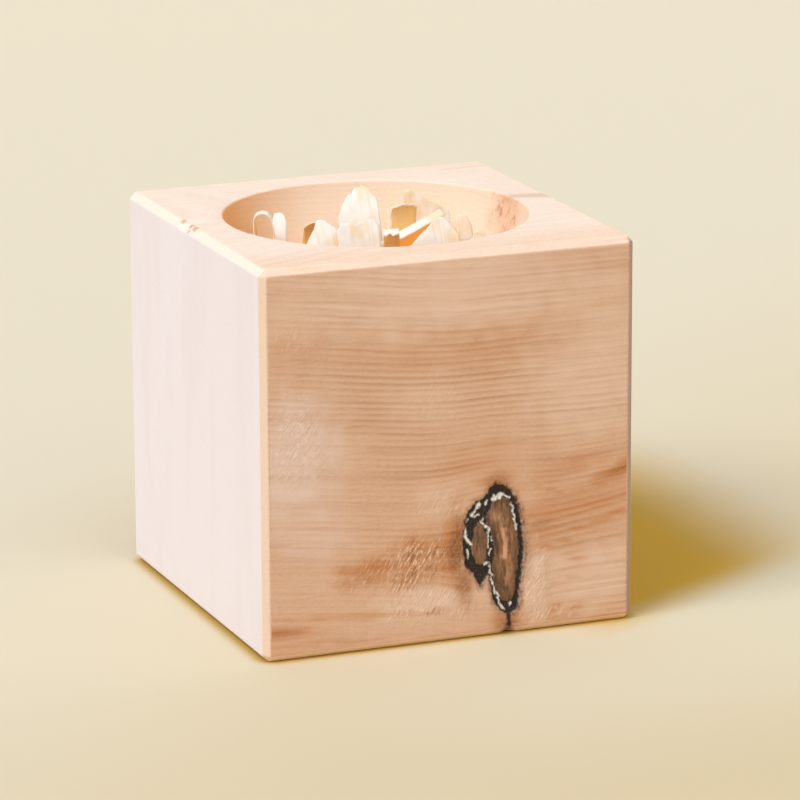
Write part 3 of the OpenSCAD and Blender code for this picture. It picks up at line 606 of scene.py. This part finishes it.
def makeCube(spec, knot, marks, material):
    side, ease = spec["side"], spec["ease"]
    half = side / 2
    bm = bmesh.new()
    bmesh.ops.create_cube(bm, size=side)
    bmesh.ops.translate(bm, verts=bm.verts[:], vec=(0, 0, half))
    for width, segments in ((ease, 1), (spec["round"], 2)):
        bmesh.ops.bevel(bm, geom=bm.edges[:], offset=width, offset_type="OFFSET", segments=segments,
                        profile=0.5, affect="EDGES", material=-1)
    bm.normal_update()

    # the bowl: an arc spun into a profile, the profile spun round
    top = max((f for f in bm.faces if f.normal.z > 0.99), key=lambda f: f.calc_area())
    topEdges = set(top.edges)
    bmesh.ops.delete(bm, geom=[top], context="FACES_ONLY")
    reach = half - 1.6 * ease
    topEdges |= {e for e in bm.edges if all(v.co.x < -reach and v.co.z > half + reach for v in e.verts)
                 and abs(e.verts[0].co.y - e.verts[1].co.y) > half}
    bmesh.ops.subdivide_edges(bm, edges=list(topEdges), cuts=spec["sideSteps"] - 1)
    outer = [e for e in bm.edges if e.is_boundary]
    bowlR = spec["bowlWidth"] / 2
    ballR = (bowlR ** 2 + spec["bowlDepth"] ** 2) / (2 * spec["bowlDepth"])
    ballZ = side - spec["bowlDepth"] + ballR
    known = set(bm.verts)
    low = bm.verts.new((0, 0, side - spec["bowlDepth"]))
    turn = math.acos((ballZ - side + 0.55 * spec["rimEase"]) / ballR)
    arc = bmesh.ops.spin(bm, geom=[low], cent=(0, 0, ballZ), axis=(0, 1, 0), angle=-turn,
                         steps=spec["bowlSteps"])
    last = onlyVerts(arc["geom_last"])
    lip = bmesh.ops.extrude_vert_indiv(bm, verts=last)["verts"][0]
    lip.co = (math.copysign(bowlR + spec["rimEase"], last[0].co.x), 0, side)
    profile = [v for v in bm.verts if v not in known]
    edges = [e for e in bm.edges if all(v not in known for v in e.verts)]
    bmesh.ops.spin(bm, geom=profile + edges, cent=(0, 0, 0), axis=(0, 0, 1), angle=2 * math.pi,
                   steps=4 * spec["sideSteps"], use_merge=True)
    bowl = [v for v in bm.verts if v not in known]
    bmesh.ops.remove_doubles(bm, verts=bowl, dist=1e-6)
    inner = [e for e in bm.edges if e.is_boundary
             and all(math.hypot(v.co.x, v.co.y) < bowlR * 1.1 for v in e.verts)]
    bmesh.ops.bridge_loops(bm, edges=outer + inner)
    bmesh.ops.recalc_face_normals(bm, faces=bm.faces[:])
    for face in bm.faces:
        centre = face.calc_center_median()
        face.smooth = math.hypot(centre.x, centre.y) < bowlR - 0.0002 and centre.z > half

    # front face: a grid, finer where the knot is
    front = max((f for f in bm.faces if f.normal.y < -0.99), key=lambda f: f.calc_area())
    frontEdges = set(front.edges)
    frontEdges |= {e for e in bm.edges if all(v.co.y < -reach and v.co.z < half - reach for v in e.verts)
                   and abs(e.verts[0].co.x - e.verts[1].co.x) > half}
    bmesh.ops.subdivide_edges(bm, edges=list(frontEdges), cuts=spec["faceCuts"], use_grid_fill=True)
    left, right, floor, head = (v * mm for v in knot["zone"])
    flat = -half + 1e-5  # what lies before this is on the face
    fine = set()
    for face in bm.faces:
        centre = face.calc_center_median()
        if centre.y < flat and left < centre.x < right and floor < centre.z < head:
            fine.update(face.edges)
    bmesh.ops.subdivide_edges(bm, edges=list(fine), cuts=knot["cuts"], use_grid_fill=True)

    # paint and relief
    names = ("drift", "stain", "pale", "tear", "bruise", "knotRingAndShade", "knotHeart", "knotResinAndGlint", "knotLight")
    paint = {name: bm.verts.layers.float.new(name) for name in names}
    for v in bm.verts:
        if v.co.y > -half + ease * 1.05:
            continue
        px, pz = v.co.x / mm, v.co.z / mm
        v[paint["drift"]] = sweepAt(px, pz, knot)
        for name in ("stain", "pale", "tear", "bruise"):
            v[paint[name]] = markAt(px, pz, marks[name])
        if knot["zone"][0] - 2 < px < knot["zone"][1] + 2 and pz < knot["zone"][3] + 2:
            ring, shadow, heart, resin, light, bruise, tail = knotAt(px, pz, knot)
            # the ring's dark paint also carries the painted shade just inside the ring
            v[paint["knotRingAndShade"]], v[paint["knotHeart"]] = max(ring, shadow, 0.9 * tail), heart
            v[paint["knotResinAndGlint"]], v[paint["knotLight"]] = resin, light
            v[paint["bruise"]] = max(bruise, v[paint["bruise"]])
            if v.co.y < flat:
                sunk = knot["ringDepth"] * ring
                sunk += knot["heartDepth"] * heart * (1 + wobble(px * 1.5, pz * 0.4, 0))
                v.co.y += max(0.0, sunk - knot["resinRise"] * resin) * mm
    chip, nick = spec["chip"], spec["nick"]
    for v in bm.verts:
        along = (v.co.y - chip["at"]) / chip["half"]
        if abs(along) < 1 and v.co.x < -reach and v.co.z > half + reach:
            depth = chip["depth"] * (1 - along ** 2) * (1 + 0.5 * wobble(v.co.y * 900, 0, 3))
            v.co += Vector((0.7, 0, -0.7)) * depth
        along = (v.co.x - nick["at"]) / nick["half"]
        if abs(along) < 1 and v.co.y < -reach and v.co.z < half - reach:
            v.co += Vector((0, 0.7, 0.7)) * nick["depth"] * (1 - along ** 2)
    bm.normal_update()
    for face in bm.faces:
        centre = face.calc_center_median()
        byKnot = left - mm < centre.x < right + mm and floor < centre.z < head + mm
        if byKnot and centre.y < -half + 1.6 * mm and len(face.verts) <= 4:
            face.smooth = True
    addPiece("pineCube", bm, material, "block")


makeCube(cubeSpec, knotSpec, frontMarks, makePineWood(pineSpec))
print("cube built")


# thin wood that light shines through, streaked along its length
shavingSpec = {
    "outer": {"pale": srgb(254, 254, 248), "warm": srgb(255, 236, 204), "line": srgb(250, 214, 164),
              "through": srgb(254, 234, 192), "glow": srgb(255, 190, 96), "paintedGlowMost": 0.04},
    # the inner side: the wood's rougher side, painted more amber as the shaded inside of the curls
    "inner": {"pale": srgb(255, 216, 152), "warm": srgb(255, 202, 128), "line": srgb(240, 170, 94),
              "through": srgb(253, 208, 134), "glow": srgb(255, 190, 96), "paintedGlowMost": 0.24},
}


def makeShavingWood(name, spec):
    s = Shades(name)
    grain = s.node("ShaderNodeAttribute", attribute_name="grain").outputs["Vector"]
    streak = s.grainNoise(grain, (60, 900, 1), detail=4.0, rough=0.6)
    cloud = s.grainNoise(grain, (120, 160, 1), detail=2.0, shift=(3, 3, 3))
    wood = s.mix(s.ramp(cloud, 0.44, 0.62), spec["pale"], spec["warm"])
    wood = s.mix(s.ramp(streak, 0.52, 0.72, 0.0, 0.4), wood, spec["line"])
    hidden = s.node("ShaderNodeAmbientOcclusion", {"Distance": 0.005}, samples=8).outputs["AO"]
    wood = s.mix(s.ramp(hidden, 0.15, 0.62), spec["through"], wood)  # painted shade: amber where sheets lie close
    # painted light: sheets made to emit a faint amber light where they lie close, standing in for light
    # passing through them
    paintedGlowStrength = s.times(s.ramp(hidden, 0.95, 0.4, 0.0, spec["paintedGlowMost"]), s.ramp(hidden, 0.0, 0.45, 0.2, 1.0))
    bump = s.node("ShaderNodeBump", {"Height": streak, "Strength": 0.3, "Distance": 0.0003}).outputs[0]
    skin = s.node("ShaderNodeBsdfPrincipled", {"Base Color": wood, "Roughness": 0.6, "Normal": bump,
                                               "Specular IOR Level": 0.25, "Emission Color": spec["glow"],
                                               "Emission Strength": paintedGlowStrength})
    back = s.node("ShaderNodeBsdfTranslucent", {"Color": spec["through"], "Normal": bump})
    both = s.node("ShaderNodeMixShader", {0: 0.12, 1: skin.outputs[0], 2: back.outputs[0]})
    s.tree.links.new(both.outputs[0], s.out.inputs[0])
    return s.material


shavingOuter = makeShavingWood("shavingOuter", shavingSpec["outer"])
shavingInner = makeShavingWood("shavingInner", shavingSpec["inner"])

# lengths of every sheet in mm: its wall, the mesh step, what one share of length and of width is,
# how far it stands off its path and off its seat, how much a flat or a rolled one flutters, twists and cups
sheetSpec = {"thick": 0.3, "step": 0.55, "length": 15.99, "width": 11.0, "offPath": 0.25, "offSeat": 0.12,
             "flutter": 0.32, "rollFlutter": 0.12, "twist": 0.09, "cup": 0.35}
# flat ones: heading, first slope, bends as (share of length, turn), share of width, and the line of the tip
# as (share of the length, share of the width)
flatShavings = {
    "arch_shaving": (158, 80, [(0.8, 0), (0.4123, -180), (0.5, 0)], 0.36, []),
    "leaf_shaving": (74, 84, [(0.85, -44)], 0.34, [(0.75, -0.6), (1.2, 0), (1.2, 0.2), (0.7, 0.6)]),
    "tent_shaving": (84, 68, [(0.86, -26)], 0.95, [(0.62, -0.6), (1.04, -0.12), (0.98, 0.02), (0.22, 0.6)]),
    "broad_shaving": (84, 82, [(0.56, -16), (0.64, -22)], 1.02,
                      [(0.66, -0.6), (1.06, -0.24), (0.98, -0.04), (0.82, 0.28), (0.46, 0.6)]),
    "amber_shaving": (92, 90, [(0.64, 0), (0.32, 62)], 0.66,
                      [(0.84, -0.6), (0.98, -0.28), (1.0, 0.1), (0.9, 0.6)]),
    "front_shaving": (90, 80, [(0.8, -16)], 1.5, [(0.42, -0.6), (1.03, -0.27), (0.98, -0.14), (0.2, 0.6)]),
    "centre_shaving": (92, 78, [(0.84, -16)], 1.08,
                       [(0.75, -0.6), (1.2, -0.25), (0.9, 0), (1.1, 0.25), (0.7, 0.6)]),
    "small_curl": (-112, 88, [(0.7, -24), (0.34, -140)], 0.38, []),
    "right_chip": (96, 86, [(0.75, -24)], 0.42, [(0.6, -0.6), (1.2, -0.1), (1.2, 0.2), (0.6, 0.6)]),
    "low_chip": (66, 72, [(0.55, 12)], 0.54, [(0.4, -0.6), (1.2, -0.06), (1.2, 0.1), (0.4, 0.6)]),
    "back_flake": (262, 66, [(0.62, -24)], 0.62, [(0.7, -0.6), (1.2, -0.1), (1.2, 0.2), (0.55, 0.6)]),
    "low_flake": (200, 8, [(0.66, 14)], 0.7, [(0.7, -0.6), (1.2, -0.15), (1.2, 0.25), (0.55, 0.6)]),
    "far_flake": (34, 8, [(0.5, 14)], 0.64, [(0.7, -0.6), (1.2, 0), (1.2, 0.2), (0.8, 0.6)]),
    "side_flake": (128, 12, [(0.72, 8)], 0.75, [(0.6, -0.6), (1.2, 0), (1.2, 0.3), (0.8, 0.6)]),
    "right_flake": (92, 84, [(0.96, -12)], 1.2, [(0.5, -0.6), (1.02, 0.42), (0.9, 0.6)]),
    "near_flake": (82, 12, [(0.36, 22), (0.34, -18)], 0.85,
                   [(0.8, -0.6), (1.2, -0.2), (1.2, 0.1), (0.7, 0.6)]),
    "lower_flake": (-6, 10, [(0.55, 12)], 0.66, [(0.6, -0.6), (1.2, -0.1), (1.2, 0.3), (0.9, 0.6)]),
    "left_flake": (58, 14, [(0.32, 18), (0.32, 14)], 0.78, [(0.8, -0.6), (1.2, 0), (1.2, 0.2), (0.6, 0.6)]),
    "bridge_flake": (-20, 10, [(0.7, 15)], 0.66, [(0.7, -0.6), (1.2, -0.3), (1.2, 0), (0.8, 0.6)]),
}
# rolled ones: radius and length in mm, turn about the upright, with a lean for the two loose rolls,
# and mirrored or not
rollSpec = {"slope": 118, "turn": 302.4, "tailTurn": 120, "tailRadius": 0.68}
rolledShavings = {
    "bottom_curl_1": (4.99, 24.0, 96, False), "bottom_curl_2": (4.99, 24.0, 96, True),
    "middle_curl_1": (4.99, 20.2, 6, False), "middle_curl_2": (4.99, 24.0, 6, False),
    "middle_curl_3": (4.99, 20.2, 6, False),
    "wall_curl_1": (4.99, 18.0, -10, True), "wall_curl_2": (4.99, 16.8, 50, True),
    "wall_curl_3": (4.99, 18.3, 110, True), "wall_curl_4": (4.99, 17.8, 170, True),
    "wall_curl_5": (4.99, 16.3, 230, True), "wall_curl_6": (4.99, 17.3, 290, True),
    "rim_curl_1": (3.4, 19.0, 230, True), "rim_curl_2": (3.4, 19.0, 290, True),
    "quill_shaving": (2.0, 12.8, (124, -84), False), "slanting_roll": (2.6, 21.75, (2, -23), False),
}


def tipAt(share, tip):
    # how far the sheet runs at a place across its width
    if not tip:
        return 1.0
    for (au, av), (bu, bv) in zip(tip, tip[1:]):
        if av <= share <= bv:
            return min(1.0, au + (bu - au) * (share - av) / max(bv - av, 1e-6))
    return min(1.0, tip[0][0] if share < tip[0][1] else tip[-1][0])


def pathAt(s, lift, bends):
    # place and slope after a length of the bent path, in mm
    x, z, slope = 0.0, 0.0, math.radians(lift)
    for length, turn in bends:
        run = min(s, length)
        bend = math.radians(turn) * run / length
        chord = run if abs(bend) < 1e-6 else run * math.sin(bend / 2) / (bend / 2)
        x += chord * math.cos(slope + bend / 2)
        z += chord * math.sin(slope + bend / 2)
        slope += bend
        s -= run
        if s <= 1e-9:
            break
    return x, z, slope


def makeSheet(name, lift, bends, width, tip, turned, seed, flutter, flipped):
    total = sum(length for length, _ in bends)
    along = max(6, int(total / sheetSpec["step"]))
    wide = max(5, int(width / sheetSpec["step"]))
    twist = sheetSpec["twist"] * math.sin(5.3 * seed)
    cup = sheetSpec["cup"] * math.sin(3.1 * seed) if tip else 0.0
    bm = bmesh.new()
    bmesh.ops.create_grid(bm, x_segments=along, y_segments=wide, size=0.5)
    grain = bm.verts.layers.float_vector.new("grain")
    for v in bm.verts:
        u, w = v.co.x + 0.5, v.co.y
        ragged = 0.03 * wobble(w * width * 0.9, seed, 0) - 0.06 * abs(wobble(w * width * 1.9, seed, 4))
        end = tipAt(w, tip) * (0.965 + ragged)
        start = 0.02 * (wobble(w * width * 1.3, seed, 8) + 0.6) if not tip else 0.0
        s = total * (start + u * (end - start))
        side = 1 if w > 0 else 2
        worn = 0 if tip else 0.07 * abs(wobble(s * 0.8, seed, side + 5))
        across = width * w * (0.97 + 0.04 * wobble(s * 0.5, seed, side) - worn)
        x, z, slope = pathAt(s, lift, bends)
        ripple = wobble(s * 0.22, across * 0.25, seed) + 0.5 * wobble(s * 0.6, across * 0.5, seed + 5)
        off = flutter * ripple + (twist * (s / total) * across + cup * (2 * w) ** 2)
        off = off * smooth(0.0, 2.0, s) + sheetSpec["offPath"]  # held still at its foot
        v.co = Vector((x - off * math.sin(slope), across, z + off * math.cos(slope))) * mm
        v[grain] = (s * mm, across * mm, seed * 0.1)
    bmesh.ops.transform(bm, matrix=turned, verts=bm.verts[:])
    if flipped:  # swaps its pale side and its amber side painted as shade
        bmesh.ops.reverse_faces(bm, faces=bm.faces[:])
    for face in bm.faces:
        face.smooth = True
    low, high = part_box(name)
    least, most = (Vector(pick(v.co[i] for v in bm.verts) for i in range(3)) for pick in (min, max))
    shift = ((low + high) - (least + most)) / 2
    shift.z = low.z + sheetSpec["offSeat"] * mm - least.z
    bmesh.ops.translate(bm, verts=bm.verts[:], vec=shift)
    first, *rest = name.split("_")
    piece = addPiece(first + "".join(r.capitalize() for r in rest), bm, shavingOuter, name)
    piece.data.materials.append(shavingInner)
    wall = piece.modifiers.new("thickness", "SOLIDIFY")
    wall.thickness = sheetSpec["thick"] * mm
    wall.offset = 0.0
    wall.material_offset = 1


def turnAbout(axis, degrees):
    return Matrix.Rotation(math.radians(degrees), 4, axis)


def makeShavings():
    for count, (name, (heading, lift, bends, width, tip)) in enumerate(flatShavings.items()):
        bends = [(share * sheetSpec["length"], turn) for share, turn in bends]
        width *= sheetSpec["width"]
        seed = 1.7 * count + 0.3
        makeSheet(name, lift, bends, width, tip, turnAbout("Z", heading), seed, sheetSpec["flutter"],
                  name == "amber_shaving")
    for count, (name, (radius, length, turn, mirrored)) in enumerate(rolledShavings.items()):
        bends = [(radius * math.radians(rollSpec["turn"]), rollSpec["turn"])]
        if name.startswith("middle"):  # these roll on inwards
            tail = rollSpec["tailTurn"]
            bends.append((rollSpec["tailRadius"] * radius * math.radians(tail), tail))
        if isinstance(turn, tuple):
            turned = turnAbout("Z", turn[0]) @ turnAbout("Y", turn[1]) @ turnAbout("Z", -90)
        else:
            turned = turnAbout("Z", turn)
            if mirrored:
                turned = turned @ Matrix.Scale(-1, 4, (1, 0, 0))
        seed = 2.3 * count + 40.1
        makeSheet(name, rollSpec["slope"], bends, length, [], turned, seed, sheetSpec["rollFlutter"],
                  not mirrored)


makeShavings()
print("shavings laid in the bowl")
